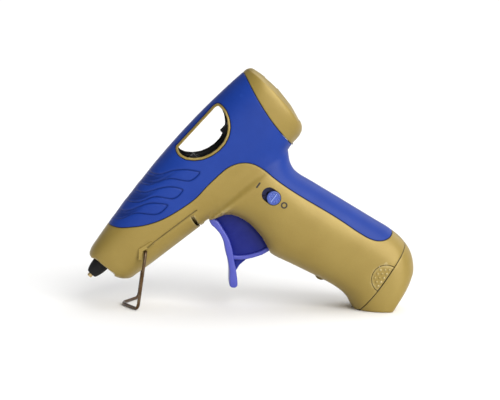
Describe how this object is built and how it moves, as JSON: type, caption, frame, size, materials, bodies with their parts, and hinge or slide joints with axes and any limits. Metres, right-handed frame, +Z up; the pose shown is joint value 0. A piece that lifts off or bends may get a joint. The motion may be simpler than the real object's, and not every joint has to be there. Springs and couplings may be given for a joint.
{
  "type": "glue gun",
  "caption": "Cordless hot-melt glue gun with pistol grip, pull trigger, slide switch, folding wire stand, see-through window and battery foot.",
  "frame": {"origin": "centre of the bounding box at the ground, where the stand foot and the battery cover rest", "axes": "+X from the nozzle towards the grip, +Y towards the right side of the gun, +Z up, as it stands on its wire stand"},
  "size_m": [0.1963, 0.0422, 0.1434],
  "materials": {
    "gold_shell": "satin metallic gold paint on moulded plastic",
    "blue_overlay": "soft-touch blue elastomer, fine matt texture",
    "blue_trigger": "moulded blue plastic, satin",
    "blue_button": "moulded blue plastic, ribbed cap",
    "black_plastic": "black moulded plastic",
    "boot_rubber": "black silicone boot",
    "sleeve_rubber": "red silicone sleeve",
    "nozzle_brass": "turned brass, slightly worn",
    "chamber_alloy": "die-cast aluminium",
    "heater_ceramic": "white ceramic plate",
    "spring_steel": "bright spring steel",
    "stand_steel": "dark bronzed steel wire",
    "screw_steel": "blackened steel",
    "cell_jacket": "printed cell jacket, plain",
    "contact_plate": "nickel-plated strip",
    "wire_sheath": "insulated lead"
  },
  "bodies": {
    "housing": {"left_housing": "gold_shell", "right_housing": "gold_shell", "left_overlay": "blue_overlay", "right_overlay": "blue_overlay", "rear_cap": "gold_shell", "housing_screws": "screw_steel", "nozzle": "nozzle_brass", "nozzle_boot": "boot_rubber", "melt_chamber": "chamber_alloy", "heater_element": "heater_ceramic", "heater_clamp": "spring_steel", "thermal_cutout": "heater_ceramic", "inlet_sleeve": "sleeve_rubber", "sleeve_clip": "spring_steel", "stick_guide": "black_plastic", "trigger_pin": "spring_steel", "return_spring": "spring_steel", "switch_body": "blue_button", "battery_tray": "black_plastic", "batteries": "cell_jacket", "upper_contacts": "contact_plate", "lead_wires": "wire_sheath"},
    "trigger": {"trigger": "blue_trigger"},
    "feed_carriage": {"feed_carriage": "black_plastic"},
    "stick_gripper": {"stick_gripper": "contact_plate"},
    "switch_slider": {"switch_slider": "blue_button"},
    "battery_cover": {"battery_cover": "gold_shell", "cover_contacts": "contact_plate", "contact_springs": "spring_steel"},
    "left_release_button": {"left_release_button": "gold_shell"},
    "right_release_button": {"right_release_button": "gold_shell"},
    "wire_stand": {"wire_stand": "stand_steel"}
  },
  "joints": [
    {"name": "trigger_pull", "type": "hinge", "parent": "housing", "child": "trigger", "pos_m": [-0.0074, 0, 0.062], "axis": [0, -1, 0], "range_deg": [0, 17.5], "stiffness_Nm_per_rad": 0.8, "springref_deg": -17.19, "deforming": ["return_spring"]},
    {"name": "carriage_slide", "type": "slide", "parent": "housing", "child": "feed_carriage", "axis": [-0.6717, 0, -0.7408], "range_m": [0, 0.0115]},
    {"name": "gripper_tilt", "type": "hinge", "parent": "feed_carriage", "child": "stick_gripper", "pos_m": [-0.03254, 0, 0.07888], "axis": [0, -1, 0], "range_deg": [0, 4.2]},
    {"name": "switch_slide", "type": "slide", "parent": "housing", "child": "switch_slider", "axis": [-0.8151, 0, 0.5793], "range_m": [0, 0.0032]},
    {"name": "cover_slide", "type": "slide", "parent": "housing", "child": "battery_cover", "axis": [0.8572, 0, -0.515], "range_m": [0, 0.012]},
    {"name": "left_button_press", "type": "slide", "parent": "housing", "child": "left_release_button", "axis": [0, 1, 0], "range_m": [0, 0.0012], "stiffness_N_per_m": 1500, "springref_m": -0.001},
    {"name": "right_button_press", "type": "slide", "parent": "housing", "child": "right_release_button", "axis": [0, -1, 0], "range_m": [0, 0.0012], "stiffness_N_per_m": 1500, "springref_m": -0.001},
    {"name": "stand_fold", "type": "hinge", "parent": "housing", "child": "wire_stand", "pos_m": [-0.0634, 0, 0.0349], "axis": [0, -1, 0], "range_deg": [0, 135]}
  ],
  "couplings": [
    {"joint": "carriage_slide", "follows": "trigger_pull", "m_per_rad": 0.0371},
    {"joint": "gripper_tilt", "follows": "trigger_pull", "ratio": 0.23}
  ]
}
